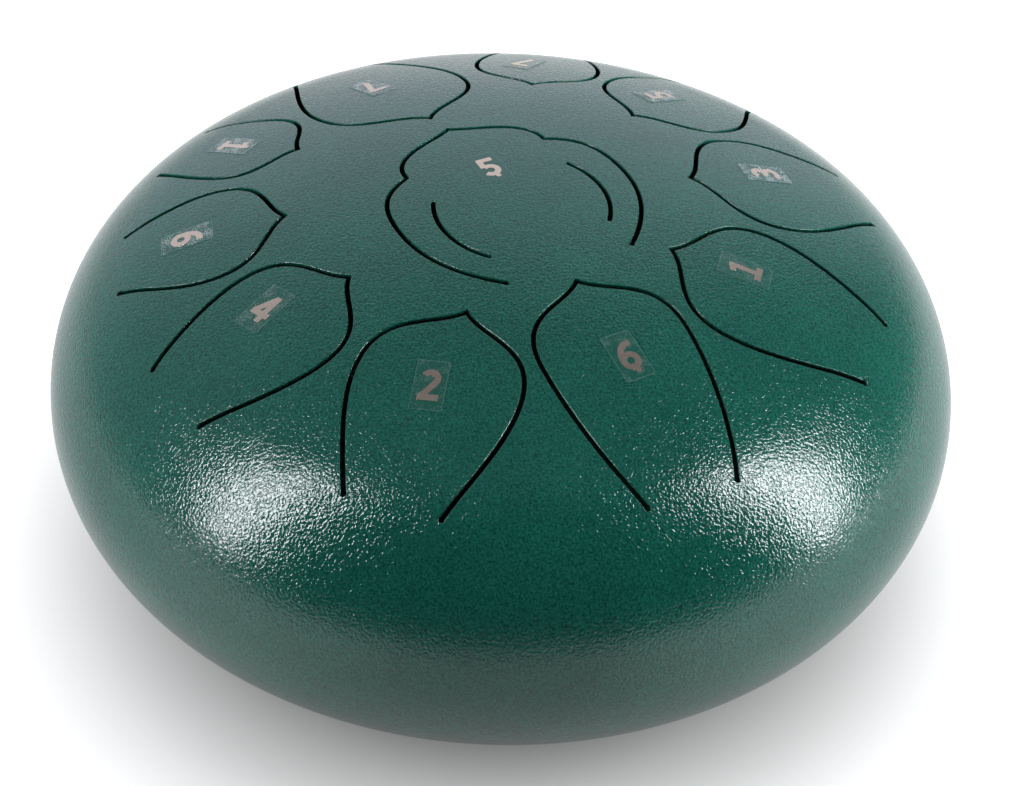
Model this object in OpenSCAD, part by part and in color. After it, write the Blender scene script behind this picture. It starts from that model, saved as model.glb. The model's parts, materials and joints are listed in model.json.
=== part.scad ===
// Steel tongue drum: two pressed steel half shells welded at the rim, eleven sprung tongues
// cut into the crown, a number label on each tongue, a sound port in the base and four rubber feet.
// Millimetres, +Z up. The origin is on the floor under the drum's axis, and the front faces -Y.

/* [Shells] */
// Diameter of the drum at its seam
body_d = 305; // [280:5:340]
// Rise of the crown above the seam
crown_rise = 76; // [70:1:84]
// Drop of the base below the seam
base_drop = 62; // [56:1:68]
// Radius of the shoulder above the seam
shoulder_r = 57.5; // [50:0.5:60]
// Radius of the shoulder below the seam
base_shoulder_r = 48; // [42:1:50]
// Thickness of the sheet steel
sheet_t = 1.6; // [1.2:0.1:2.2]
// Diameter of the sound port in the base
port_d = 70; // [50:1:90]

/* [Rim weld] */
// Depth of the weld groove in the sheet
weld_depth = 1.1; // [0.6:0.05:1.1]
// Gap between the two shells under the weld
weld_gap = 0.1; // [0.06:0.02:0.2]

/* [Tongues] */
// Distance of the tongue roots in from the rim
root_inset = 27.5; // [23:0.5:34]
// Distance of the nearest tongue tip from the drum's axis
tip_r = 48; // [46:1:54]
// Width of an outer tongue across its root
root_w = 30; // [26:1:34]
// Width of the slot round a tongue
slot_w = 1.5; // [1:0.1:2]
// Steel left between the centre tongue and the nearest outer tip
centre_web = 7.5; // [6:0.5:11]
// Width of the centre tongue across its root
centre_root_w = 45; // [38:1:50]

/* [Number labels] */
// Width of a label
label_w = 10; // [8:0.5:12]
// Length of a label
label_l = 17; // [14:0.5:19]
// Thickness of the label film
label_t = 0.12; // [0.08:0.02:0.3]

/* [Feet] */
// Height of the base above the floor
stand_h = 6; // [4:0.5:10]
// Distance of the feet from the drum's axis
foot_r = 80; // [65:1:90]
// Diameter of a rubber foot where it meets the base
foot_d = 24; // [20:1:30]
// Rubber held between the base and the washer
foot_web = 4; // [3:0.5:5]
// Diameter of the screw's thread
screw_d = 4; // [3:0.5:5]
// Length of thread past the nut
screw_past_nut = 1.5; // [0.5:0.5:4]
// Thickness of the washer
washer_t = 0.8; // [0.5:0.1:1.2]
// Height of the nut
nut_h = 3.2; // [2.4:0.1:4]

/* [Hidden] */
green = [0.09, 0.31, 0.26];
clear_film = [0.75, 0.72, 0.7, 0.5];
weld_green = [0.11, 0.36, 0.3];
zinc = [0.72, 0.73, 0.74];
black_rubber = [0.08, 0.08, 0.08];

// Clearances
overrun = 2;
root_gap = 0.05;
film_gap = 0.03;
seat_gap = 0.05;
hole_clear = 0.3;

// How much wider than the slot its round end is
end_swell = 0.3;

// Outer tongues, in turn from the front left, anticlockwise seen from above
notes = ["2", "low_6", "1", "3", "5", "7", "low_7", "high_1", "6", "4"];
azimuths = [-104, -63, -20.5, 18.5, 54, 85, 122, 155, 185.5, 218];
turns = [-2.5, 0, 2.5, 1, 0, 0, 0.8, -1, -1, -2.5];
length_shares = [0.86, 1, 0.89, 0.81, 0.7, 0.61, 0.93, 0.61, 0.69, 0.8];
width_shares = [0.91, 0.92, 0.95, 0.92, 0.84, 0.7, 1.04, 0.64, 0.78, 0.83];

// Outline of an outer tongue, with handles as shares of its half width and of its straight side
tip_angle = 42;
tip_handle_share = 0.46;
shoulder_handle_share = 0.85;
shoulder_share = 1.08;
side_handle_share = 0.32;
root_handle_share = 0.33;
root_angle = 22;

// Centre tongue: its azimuth, and its outline in shares of its half width
centre_azimuth = -60;
centre_back_share = 1.05;
centre_length_share = 2.03;
centre_tip_angle = 47;
lobe_shares = [[0, 0], [0.13, 0.14], [0.15, 0.65], [0.51, 0.63]];
cheek_shares = [[0.51, 0.63], [0.61, 0.89], [0.76, 1], [1.15, 1]];
centre_side_handle_share = 0.39;
centre_root_handle_share = 0.31;
centre_root_angle = 50;
inner_slot_place_share = 1.27;
inner_slot_share = 0.7;
inner_slot_angles = [50, 119];

// Labels: how far from the tip and how far aside, as shares of the tongue's length and half width
label_along_shares = [0.43, 0.41, 0.34, 0.48, 0.48, 0.57, 0.55, 0.56, 0.6, 0.42];
label_aside_shares = [-0.07, 0.06, 0.17, 0.2, 0.24, 0.23, 0.03, -0.05, -0.05, -0.3];
label_turns = [9, 3, 5, 1, -15, -20, 4, -8, 5, 13];
centre_label_share = 0.72;
centre_label_turn = -2;

// Feet and their fasteners
foot_azimuths = [-45, 45, 135, 225];
foot_taper = 2;
washer_d = 11;
head_d = 8;
head_h = 2.2;
head_clear = 0.6;
socket_d = 2.5;
socket_depth = 1.2;
nut_d = 8.1;

// Derived shape of the shells
body_r = body_d / 2;
seam_z = stand_h + base_drop;
shoulder_x = body_r - shoulder_r;
crown_r = (pow(shoulder_x, 2) + pow(crown_rise, 2) - pow(shoulder_r, 2)) / (2 * (crown_rise - shoulder_r));
crown_z = seam_z + crown_rise - crown_r;
crown_angle = atan(shoulder_x / (seam_z - crown_z));
base_shoulder_x = body_r - base_shoulder_r;
base_r = (pow(base_shoulder_x, 2) + pow(base_drop, 2) - pow(base_shoulder_r, 2))
    / (2 * (base_drop - base_shoulder_r));
base_z = stand_h + base_r;
base_angle = atan(base_shoulder_x / (base_z - seam_z));

// Derived places of the tongues and feet
root_r = body_r - root_inset;
half_spacing = 180 / len(notes);
longest = root_r - tip_r;
centre_half_w = tip_r - centre_web;
centre_len = centre_length_share * centre_half_w;
slot_end_d = slot_w + end_swell;
foot_tilt = asin(foot_r / base_r);
foot_drop = (stand_h + base_r * (1 - cos(foot_tilt))) / cos(foot_tilt);
foot_len = foot_drop + foot_d / 2 * tan(foot_tilt) + overrun;

$fn = 96;

function tongue_len(i) = longest * length_shares[i];

// Half width of an outer tongue, as a share of the half spacing at the middle of its length
function half_w(i) = width_shares[i] * (root_r - tongue_len(i) / 2) * sin(half_spacing);

function bezier(p, steps) = [
    for (k = [0:steps])
        let (t = k / steps, s = 1 - t)
            pow(s, 3) * p[0] + 3 * s * s * t * p[1] + 3 * s * t * t * p[2] + pow(t, 3) * p[3]
];

function after_first(path) = [for (k = [1:len(path) - 1]) path[k]];

// The left side of an outer tongue's slot, from the tip to the slot's end, along the slot's middle
function petal_side(length, w) =
    let (
        widest = shoulder_share * w,
        straight = length - widest,
        root_handle = root_handle_share * straight,
        tip_handle = tip_handle_share * w
    )
    concat(
        bezier([
            [0, 0],
            [tip_handle * cos(tip_angle), tip_handle * sin(tip_angle)],
            [widest - shoulder_handle_share * w, w],
            [widest, w]
        ], 12),
        after_first(bezier([
            [widest, w],
            [widest + side_handle_share * straight, w],
            [length - root_handle * cos(root_angle), root_w / 2 + root_handle * sin(root_angle)],
            [length, root_w / 2]
        ], 8))
    );

// The left side of the centre tongue's slot: the tip's lobe, the notch, the round cheek and the end
function centre_side() =
    let (
        w = centre_half_w,
        widest = cheek_shares[3][0] * w,
        root_handle = centre_root_handle_share * w
    )
    concat(
        bezier(lobe_shares * w, 8),
        after_first(bezier(cheek_shares * w, 6)),
        after_first(bezier([
            [widest, w],
            [widest + centre_side_handle_share * w, w],
            [
                centre_len - root_handle * cos(centre_root_angle),
                centre_root_w / 2 + root_handle * sin(centre_root_angle)
            ],
            [centre_len, centre_root_w / 2]
        ], 8))
    );

function along(path, k) = path[min(k + 1, len(path) - 1)] - path[max(k - 1, 0)];

function shifted(path, d) = [
    for (k = [0:len(path) - 2])
        let (t = along(path, k))
            path[k] + d * [-t[1], t[0]] / norm(t)
];

// A closed tongue outline: the slot's middle line moved out by d, and cut straight across the root
function outline(path, d, tip, root, cut) =
    let (
        last = path[len(path) - 1],
        end = [last[0] - cut, last[1] + d / cos(root)],
        moved = concat([for (p = shifted(path, d)) if (p[1] > 0) p], [end])
    )
    concat(
        [[-d / sin(tip), 0]],
        moved,
        [for (k = [len(moved) - 1:-1:0]) [moved[k][0], -moved[k][1]]]
    );

// Half of the drum's section above the seam, drawn in by d from its outer face, or out by -d: the
// crown's large circle meets the shoulder's small one where both have the same slope
module crown_section(d) {
    join = (crown_r - d) * sin(crown_angle);
    intersection() {
        translate([0, crown_z])
            circle(r = crown_r - d);
        translate([0, seam_z])
            square([join, crown_rise + overrun]);
    }
    intersection() {
        translate([shoulder_x, seam_z])
            circle(r = shoulder_r - d);
        translate([join, seam_z])
            square([body_r + overrun - join, crown_rise]);
    }
}

// The same below the seam
module base_section(d) {
    join = (base_r - d) * sin(base_angle);
    intersection() {
        translate([0, base_z])
            circle(r = base_r - d);
        translate([0, stand_h])
            square([join, base_drop]);
    }
    intersection() {
        translate([base_shoulder_x, seam_z])
            circle(r = base_shoulder_r - d);
        translate([join, stand_h])
            square([body_r - join, base_drop]);
    }
}

module crown_skin() {
    rotate_extrude()
        difference() {
            crown_section(0);
            crown_section(sheet_t);
        }
}

module base_skin() {
    rotate_extrude()
        difference() {
            base_section(0);
            base_section(sheet_t);
        }
}

// The groove that the two shell edges leave for the weld, with the narrow gap behind it
module weld_groove() {
    rotate_extrude()
        translate([body_r, seam_z])
            polygon([
                [-sheet_t - overrun, -weld_gap / 2],
                [-weld_depth, -weld_gap / 2],
                [overrun, -weld_gap / 2 - weld_depth - overrun],
                [overrun, weld_gap / 2 + weld_depth + overrun],
                [-weld_depth, weld_gap / 2],
                [-sheet_t - overrun, weld_gap / 2]
            ]);
}

module through_crown() {
    translate([0, 0, seam_z])
        linear_extrude(height = crown_rise + overrun)
            children();
}

// Puts an outer tongue's outline, tip at the origin and root along +X, in its place
module at_tongue(i) {
    rotate(azimuths[i])
        translate([root_r, 0])
            rotate(turns[i])
                translate([-tongue_len(i), 0])
                    children();
}

module at_centre_tongue() {
    rotate(centre_azimuth)
        translate([-centre_back_share * centre_half_w, 0])
            children();
}

module slot_ends(length, width) {
    for (side = [-1, 1])
        translate([length, side * width / 2])
            circle(d = slot_end_d);
}

module outer_window(i) {
    at_tongue(i) {
        polygon(outline(petal_side(tongue_len(i), half_w(i)), slot_w / 2, tip_angle, root_angle, 0));
        slot_ends(tongue_len(i), root_w);
    }
}

module centre_window() {
    at_centre_tongue() {
        polygon(outline(centre_side(), slot_w / 2, centre_tip_angle, centre_root_angle, 0));
        slot_ends(centre_len, centre_root_w);
    }
}

// One end of a curved slot: a half circle round the end of the arc of radius r at the angle a
function round_end(r, a, from) = [
    for (b = [0:30:180])
        r * [cos(a), sin(a)] + slot_w / 2 * [cos(from + b), sin(from + b)]
];

// The two curved slots inside the centre tongue
module inner_slots() {
    r = inner_slot_share * centre_half_w;
    first = inner_slot_angles[0];
    last = inner_slot_angles[1];
    step = (last - first) / 10;
    translate([inner_slot_place_share * centre_half_w, 0])
        for (side = [0, 1])
            mirror([0, side])
                polygon(concat(
                    [for (k = [1:9]) (r + slot_w / 2) * [cos(first + k * step), sin(first + k * step)]],
                    round_end(r, last, last),
                    [for (k = [9:-1:1]) (r - slot_w / 2) * [cos(first + k * step), sin(first + k * step)]],
                    round_end(r, first, first + 180)
                ));
}

module top_shell() {
    color(green)
        difference() {
            crown_skin();
            weld_groove();
            through_crown()
                centre_window();
            for (i = [0:len(notes) - 1])
                through_crown()
                    outer_window(i);
        }
}

module outer_tongue(i) {
    color(green)
        intersection() {
            crown_skin();
            through_crown()
                at_tongue(i)
                    difference() {
                        polygon(outline(
                            petal_side(tongue_len(i), half_w(i)), -slot_w / 2, tip_angle, root_angle, root_gap
                        ));
                        slot_ends(tongue_len(i), root_w);
                    }
        }
}

module centre_tongue() {
    color(green)
        intersection() {
            crown_skin();
            through_crown()
                at_centre_tongue()
                    difference() {
                        polygon(outline(
                            centre_side(), -slot_w / 2, centre_tip_angle, centre_root_angle, root_gap
                        ));
                        slot_ends(centre_len, centre_root_w);
                        inner_slots();
                    }
        }
}

// A sheet of film lying on the crown, so thin that its section needs finer arcs than the steel's
module film() {
    color(clear_film)
        intersection() {
            rotate_extrude()
                difference() {
                    crown_section(-film_gap - label_t, $fn = 512);
                    crown_section(-film_gap, $fn = 512);
                }
            through_crown()
                children();
        }
}

module outer_label(i) {
    film()
        at_tongue(i)
            translate([label_along_shares[i] * tongue_len(i), label_aside_shares[i] * half_w(i)])
                rotate(label_turns[i])
                    square([label_l, label_w], center = true);
}

module centre_label() {
    film()
        at_centre_tongue()
            translate([centre_label_share * centre_half_w, 0])
                rotate(centre_label_turn)
                    square([label_l, label_w], center = true);
}

module bottom_shell() {
    color(green)
        difference() {
            base_skin();
            weld_groove();
            cylinder(d = port_d, h = seam_z);
            for (a = foot_azimuths)
                at_foot(a)
                    translate([0, 0, -overrun])
                        cylinder(d = screw_d + 2 * hole_clear, h = sheet_t + 2 * overrun);
        }
}

// The ring of weld metal that fills the groove, ground flush with the shells
module rim_weld() {
    color(weld_green)
        rotate_extrude($fn = 256)
            intersection() {
                translate([base_shoulder_x, seam_z])
                    circle(r = base_shoulder_r, $fn = 256);
                translate([body_r, seam_z])
                    polygon([
                        [seat_gap - weld_depth, 0],
                        [overrun, -weld_depth - overrun + seat_gap],
                        [overrun, weld_depth + overrun - seat_gap]
                    ]);
            }
}

// A foot's frame: the origin on the base's outer face, +Z square to the sheet and into the drum
module at_foot(azimuth) {
    rotate(azimuth)
        translate([0, 0, base_z])
            rotate([0, -foot_tilt, 0])
                translate([0, 0, -base_r])
                    children();
}

module rubber_foot(azimuth) {
    color(black_rubber)
        difference() {
            at_foot(azimuth)
                difference() {
                    translate([0, 0, -foot_len])
                        cylinder(d1 = foot_d - 2 * foot_taper, d2 = foot_d, h = foot_len + overrun);
                    translate([0, 0, base_r])
                        sphere(r = base_r + seat_gap, $fn = 256);
                    translate([0, 0, -foot_len])
                        cylinder(d = screw_d + 2 * hole_clear, h = foot_len + overrun);
                    translate([0, 0, -foot_len - foot_web])
                        cylinder(d = washer_d + 2 * head_clear, h = foot_len);
                }
            translate([-body_r, -body_r, -foot_len])
                cube([body_d, body_d, foot_len]);
        }
}

module foot_washers() {
    color(zinc)
        for (a = foot_azimuths)
            at_foot(a)
                translate([0, 0, -foot_web - seat_gap - washer_t])
                    difference() {
                        cylinder(d = washer_d, h = washer_t);
                        translate([0, 0, -washer_t])
                            cylinder(d = screw_d + hole_clear, h = 3 * washer_t);
                    }
}

module foot_screws() {
    head_top = foot_web + washer_t + 2 * seat_gap;
    color(zinc)
        for (a = foot_azimuths)
            at_foot(a) {
                difference() {
                    translate([0, 0, -head_top - head_h])
                        cylinder(d = head_d, h = head_h);
                    translate([0, 0, -head_top - head_h - overrun])
                        cylinder(d = socket_d, h = socket_depth + overrun, $fn = 6);
                }
                translate([0, 0, -head_top])
                    cylinder(d = screw_d, h = head_top + sheet_t + nut_h + screw_past_nut);
            }
}

module foot_nuts() {
    color(zinc)
        for (a = foot_azimuths)
            at_foot(a)
                translate([0, 0, sheet_t + seat_gap])
                    difference() {
                        cylinder(d = nut_d, h = nut_h, $fn = 6);
                        translate([0, 0, -nut_h])
                            cylinder(d = screw_d + 2 * seat_gap, h = 3 * nut_h);
                    }
}

top_shell();
bottom_shell();
rim_weld();
centre_tongue();  // tongue_low_5
centre_label();  // label_low_5
for (i = [0:len(notes) - 1]) {
    outer_tongue(i);
    outer_label(i);
}
for (k = [0:len(foot_azimuths) - 1])
    rubber_foot(foot_azimuths[k]);
foot_screws();
foot_washers();
foot_nuts();
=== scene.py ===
import json
from math import acos, asin, atan2, ceil, cos, degrees, hypot, pi, radians, sin, sqrt

import bmesh
import bpy
from mathutils import Matrix, Quaternion, Vector, geometry, kdtree

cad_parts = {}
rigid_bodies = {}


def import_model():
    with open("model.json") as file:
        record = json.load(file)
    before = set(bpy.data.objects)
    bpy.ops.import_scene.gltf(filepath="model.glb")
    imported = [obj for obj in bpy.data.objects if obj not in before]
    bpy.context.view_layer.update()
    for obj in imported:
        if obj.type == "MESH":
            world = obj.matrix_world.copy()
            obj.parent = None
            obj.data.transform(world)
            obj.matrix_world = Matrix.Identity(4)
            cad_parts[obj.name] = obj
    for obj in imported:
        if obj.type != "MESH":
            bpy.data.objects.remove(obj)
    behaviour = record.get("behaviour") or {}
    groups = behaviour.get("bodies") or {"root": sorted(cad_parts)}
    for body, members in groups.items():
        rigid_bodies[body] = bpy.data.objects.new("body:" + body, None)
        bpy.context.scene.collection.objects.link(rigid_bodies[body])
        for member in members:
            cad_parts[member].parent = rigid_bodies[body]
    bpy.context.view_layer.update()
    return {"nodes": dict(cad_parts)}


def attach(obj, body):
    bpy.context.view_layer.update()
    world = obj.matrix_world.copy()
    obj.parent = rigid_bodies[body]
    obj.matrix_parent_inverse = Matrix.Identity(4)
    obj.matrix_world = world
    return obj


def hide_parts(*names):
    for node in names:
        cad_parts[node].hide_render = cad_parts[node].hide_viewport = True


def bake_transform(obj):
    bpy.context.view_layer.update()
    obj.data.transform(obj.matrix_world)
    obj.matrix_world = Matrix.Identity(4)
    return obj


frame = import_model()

# Camera. The photograph looks down on the front of the drum at 40 degrees, from three quarters of
# a metre away, with the drum almost filling the frame and leaning a little to the right.
MM = 0.001
camera_place = Vector((0, -580.5, 552)) * MM
camera_turn = (radians(49.55), radians(-1.74), radians(1.12))
bpy.ops.object.camera_add(location=camera_place, rotation=camera_turn)
camera = bpy.context.object
camera.data.sensor_width = 36
camera.data.lens = 77.3
bpy.context.scene.camera = camera
bpy.context.scene.view_settings.view_transform = "Standard"


# Floor. A seamless sheet of white studio paper, lit flat, on which the drum keeps a soft shadow;
# under the drum the paper also carries a painted shadow.
def add_node(tree, kind, inputs=None, **settings):
    # A shader node with its settings, and its inputs set to values or linked to other nodes' outputs
    made = tree.nodes.new(kind)
    for name, value in settings.items():
        setattr(made, name, value)
    for name, value in (inputs or {}).items():
        if isinstance(value, bpy.types.NodeSocket):
            tree.links.new(value, made.inputs[name])
        else:
            made.inputs[name].default_value = value
    return made


def new_material(name):
    # A material and its empty node tree
    material = bpy.data.materials.new(name)
    material.use_nodes = True
    material.node_tree.nodes.clear()
    return material, material.node_tree


floor_size = 12
bpy.ops.mesh.primitive_plane_add(size=floor_size)
floor = bpy.context.object
floor.name = "studio_floor"
paper, tree = new_material("studio_paper")
place = add_node(tree, "ShaderNodeTexCoord")
off_axis = add_node(tree, "ShaderNodeVectorMath", {0: place.outputs["Object"]}, operation="LENGTH")
# Painted shadow: under the drum the paper is painted dark, fading out from 7 to 20 cm off the axis
outside_painted_shadow = add_node(tree, "ShaderNodeMapRange", {
    "Value": off_axis.outputs["Value"], "From Min": 0.07, "From Max": 0.2},
    interpolation_type="SMOOTHSTEP")
fibre = add_node(tree, "ShaderNodeTexNoise", {"Scale": 40.0, "Detail": 3.0})
fibre_tone = add_node(tree, "ShaderNodeMapRange", {
    "Value": fibre.outputs[0], "To Min": 0.53, "To Max": 0.57})
# The paper's colour carries the fibre's tone and the painted shadow under the drum
paper_tone_and_painted_shadow = add_node(tree, "ShaderNodeMath", {
    0: fibre_tone.outputs[0], 1: outside_painted_shadow.outputs[0]}, operation="MULTIPLY")
lit = add_node(tree, "ShaderNodeBsdfDiffuse", {"Color": paper_tone_and_painted_shadow.outputs[0]})
# To the camera the paper glows as white, and more where the lamps don't reach; under the drum the
# glow is cut off as well, as painted shadow
path = add_node(tree, "ShaderNodeLightPath")
far_off = add_node(tree, "ShaderNodeMapRange", {
    "Value": off_axis.outputs["Value"], "From Min": 0.4, "From Max": 1.6, "To Min": 0.78, "To Max": 1.0})
to_camera = add_node(tree, "ShaderNodeMath", {
    0: path.outputs["Is Camera Ray"], 1: far_off.outputs[0]}, operation="MULTIPLY")
# In a mirror it is whiter towards the backdrop and at the drum's front corners, dimmer at the sides,
# and ends a little way in front of the drum
in_mirror = add_node(tree, "ShaderNodeMath", {
    0: path.outputs["Is Glossy Ray"], 1: path.outputs["Is Transmission Ray"]}, operation="MAXIMUM")
along_floor = add_node(tree, "ShaderNodeSeparateXYZ", {0: place.outputs["Object"]})
to_back = add_node(tree, "ShaderNodeMapRange", {
    "Value": along_floor.outputs["Y"], "From Min": 0.1, "From Max": 1.0, "To Min": 0.42, "To Max": 0.85})
aside = add_node(tree, "ShaderNodeMath", {0: along_floor.outputs["X"]}, operation="ABSOLUTE")
to_side = add_node(tree, "ShaderNodeMapRange", {
    "Value": aside.outputs[0], "From Min": 0.15, "From Max": 0.4, "To Min": 1.0, "To Max": 0.56})
to_front = add_node(tree, "ShaderNodeMapRange", {
    "Value": along_floor.outputs["Y"], "From Min": -0.62, "From Max": -0.54})
on_table = add_node(tree, "ShaderNodeMath", {
    0: to_back.outputs[0], 1: to_front.outputs[0]}, operation="MULTIPLY")
in_front = add_node(tree, "ShaderNodeMapRange", {
    "Value": along_floor.outputs["Y"], "From Min": -0.06, "From Max": -0.2})
off_centre = add_node(tree, "ShaderNodeMapRange", {
    "Value": aside.outputs[0], "From Min": 0.08, "From Max": 0.26, "To Min": 0.0, "To Max": 1.2})
across_table = add_node(tree, "ShaderNodeMath", {
    0: in_front.outputs[0], 1: off_centre.outputs[0], 2: to_side.outputs[0]}, operation="MULTIPLY_ADD")
mirror_level = add_node(tree, "ShaderNodeMath", {
    0: on_table.outputs[0], 1: across_table.outputs[0]}, operation="MULTIPLY")
glow_seen = add_node(tree, "ShaderNodeMath", {
    0: in_mirror.outputs[0], 1: mirror_level.outputs[0], 2: to_camera.outputs[0]},
    operation="MULTIPLY_ADD")
glow_level = add_node(tree, "ShaderNodeMath", {
    0: glow_seen.outputs[0], 1: outside_painted_shadow.outputs[0]}, operation="MULTIPLY")
glow = add_node(tree, "ShaderNodeEmission", {"Strength": glow_level.outputs[0]})
both = add_node(tree, "ShaderNodeAddShader", {0: lit.outputs[0], 1: glow.outputs[0]})
# From beneath the paper isn't seen, so the base and feet are
side = add_node(tree, "ShaderNodeNewGeometry")
clear = add_node(tree, "ShaderNodeBsdfTransparent")
sheet = add_node(tree, "ShaderNodeMixShader", {
    0: side.outputs["Backfacing"], 1: both.outputs[0], 2: clear.outputs[0]})
add_node(tree, "ShaderNodeOutputMaterial", {"Surface": sheet.outputs[0]})
floor.data.materials.append(paper)

# Studio light. A bright backdrop behind the drum fades towards the ceiling and to the dim side where
# the camera stands, and a softbox on each side makes the two highlights on the front of the shoulder.
world = bpy.data.worlds.new("studio")
bpy.context.scene.world = world
world.use_nodes = True
tree = world.node_tree
tree.nodes.clear()
towards = add_node(tree, "ShaderNodeTexCoord")
parts = add_node(tree, "ShaderNodeSeparateXYZ", {0: towards.outputs["Generated"]})
by_height = add_node(tree, "ShaderNodeValToRGB", {"Fac": parts.outputs["Z"]})
from_front = add_node(tree, "ShaderNodeMapRange", {"Value": parts.outputs["Y"], "From Min": -1.0})
by_side = add_node(tree, "ShaderNodeValToRGB", {"Fac": from_front.outputs[0]})


def fill_ramp(ramp, stops):
    # Grey levels along a ramp, with a touch of blue
    elements = ramp.color_ramp.elements
    while len(elements) < len(stops):
        elements.new(0.5)
    for element, (position, level) in zip(elements, stops):
        element.position = position
        element.color = (level * 0.95, level * 0.94, level * 1.03, 1)


fill_ramp(by_height, [(0.45, 1), (0.73, 1), (0.79, 0.8), (0.84, 0.65), (0.87, 0.42), (0.91, 0.33),
                      (1, 0.45)])
fill_ramp(by_side, [(0.37, 0.03), (0.5, 0.32), (0.77, 0.5), (0.92, 1)])
dimmed = add_node(tree, "ShaderNodeVectorMath", {
    0: by_height.outputs["Color"], 1: by_side.outputs["Color"]}, operation="MULTIPLY")
# The backdrop ends on the right along a slanting edge
to_right = add_node(tree, "ShaderNodeMath", {
    0: parts.outputs["Z"], 1: 0.4, 2: parts.outputs["X"]}, operation="MULTIPLY_ADD")
past_backdrop = add_node(tree, "ShaderNodeMapRange", {
    "Value": to_right.outputs[0], "From Min": 0.53, "From Max": 0.69, "To Min": 1.0, "To Max": 0.27})
white = add_node(tree, "ShaderNodeBackground", {"Color": (1, 1, 1, 1), "Strength": 1.0})
studio = add_node(tree, "ShaderNodeBackground", {
    "Color": dimmed.outputs[0], "Strength": past_backdrop.outputs[0]})
path = add_node(tree, "ShaderNodeLightPath")
mixed = add_node(tree, "ShaderNodeMixShader", {
    0: path.outputs["Is Camera Ray"], 1: studio.outputs[0], 2: white.outputs[0]})
add_node(tree, "ShaderNodeOutputWorld", {"Surface": mixed.outputs[0]})

# The lamps all face one point on the front of the drum. The two tall softboxes are mirrored by the
# coat but don't light it, and the wide panels light it without being mirrored. For each: the side it
# stands on and its height, both as angles, its tilt, width and length, power, and if it is mirrored.
lamp_distance = 1.2
lamp_aim = Vector((0, -0.08, 0.11))
lamps = {
    "softbox_left": (-158.5, 34, 9, 0.24, 1.5, 19, True),
    "softbox_right": (-6, 28, -9, 0.27, 1.45, 22.8, True),
    "spread_left": (-172, 19, 0, 0.8, 0.8, 11.5, False),
    "spread_right": (3, 17, 0, 0.8, 0.8, 19, False),
    "overhead": (90, 80, 0, 1.2, 1.2, 3.5, False),
}
for name, (side, height, tilt, width, length, power, seen_in_coat) in lamps.items():
    side, height = radians(side), radians(height)
    ray = Vector((cos(side) * cos(height), sin(side) * cos(height), sin(height)))
    turn = ray.to_track_quat("Z", "Y") @ Quaternion((0, 0, 1), radians(tilt))
    bpy.ops.object.light_add(type="AREA", location=ray * lamp_distance + lamp_aim,
                             rotation=turn.to_euler())
    lamp = bpy.context.object
    lamp.name = name
    lamp.data.shape = "ELLIPSE"
    lamp.data.size = width
    lamp.data.size_y = length
    lamp.data.energy = power
    lamp.data.color = (0.96, 0.98, 1)
    lamp.visible_glossy = seen_in_coat
    lamp.visible_diffuse = not seen_in_coat

# Top shell and tongues. A disc of 1.6 mm steel has eleven petal slots cut through it with a laser
# and is then pressed to a dome, so each tongue stays one with the dome at its root. Both are powder
# coated green together, which rounds the lips of the slots.
body_r = 152.5
seam_z = 68
crown_rise = 76
shoulder_r = 57.5
sheet_t = 1.6
lip_r = 0.3
weld_half = 1.05
shoulder_x = body_r - shoulder_r
crown_r = (shoulder_x ** 2 + crown_rise ** 2 - shoulder_r ** 2) / (2 * (crown_rise - shoulder_r))
crown_z = seam_z + crown_rise - crown_r
crown_join_r = crown_r * shoulder_x / hypot(shoulder_x, seam_z - crown_z)

root_r = 125
tip_r = 48
slot_w = 1.5
slot_end_r = 0.9
root_w = 30
centre_half_w = 40.5
centre_root_w = 45
root_steps = 8
press_r = 132
rim_steps = 360

# Outer tongues, anticlockwise from the front left: azimuth, turn about the root, and the shares of
# the longest tongue's length and of the half spacing at the middle of the tongue
outer_tongues = {
    "2": (-104, -2.5, 0.86, 0.91),
    "low_6": (-63, 0, 1, 0.92),
    "1": (-20.5, 2.5, 0.89, 0.95),
    "3": (18.5, 1, 0.81, 0.92),
    "5": (54, 0, 0.7, 0.84),
    "7": (85, 0, 0.61, 0.7),
    "low_7": (122, 0.8, 0.93, 1.04),
    "high_1": (155, -1, 0.61, 0.64),
    "6": (185.5, -1, 0.69, 0.78),
    "4": (218, -2.5, 0.8, 0.83),
}
tip_angle = radians(42)
root_angle = radians(22)
centre_tip_angle = radians(47)
centre_root_angle = radians(50)
centre_azimuth = -60
centre_length = 2.03 * centre_half_w
inner_slot_angles = (50, 119)


def crown_height(r):
    if r < crown_join_r:
        return crown_z + sqrt(crown_r ** 2 - r ** 2)
    return seam_z + sqrt(max(shoulder_r ** 2 - (r - shoulder_x) ** 2, 0))


def crown_normal(x, y):
    r = max(hypot(x, y), 1e-6)
    if r < crown_join_r:
        return Vector((x, y, crown_height(r) - crown_z)).normalized()
    outward = (r - shoulder_x) / r
    return Vector((x * outward, y * outward, crown_height(r) - seam_z)).normalized()


def bezier(points, steps):
    a, b, c, d = (Vector(p) for p in points)
    path = []
    for k in range(steps + 1):
        t = k / steps
        s = 1 - t
        path.append(a * s ** 3 + b * 3 * s * s * t + c * 3 * s * t * t + d * t ** 3)
    return path


def petal_side(length, half_w):
    # The left side of an outer slot's middle line, from its tip at the origin to its root end
    widest = 1.08 * half_w
    straight = length - widest
    return bezier([
        (0, 0),
        (0.46 * half_w * cos(tip_angle), 0.46 * half_w * sin(tip_angle)),
        (0.23 * half_w, half_w),
        (widest, half_w),
    ], 32) + bezier([
        (widest, half_w),
        (widest + 0.32 * straight, half_w),
        (length - 0.33 * straight * cos(root_angle), root_w / 2 + 0.33 * straight * sin(root_angle)),
        (length, root_w / 2),
    ], 44)[1:]


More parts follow.
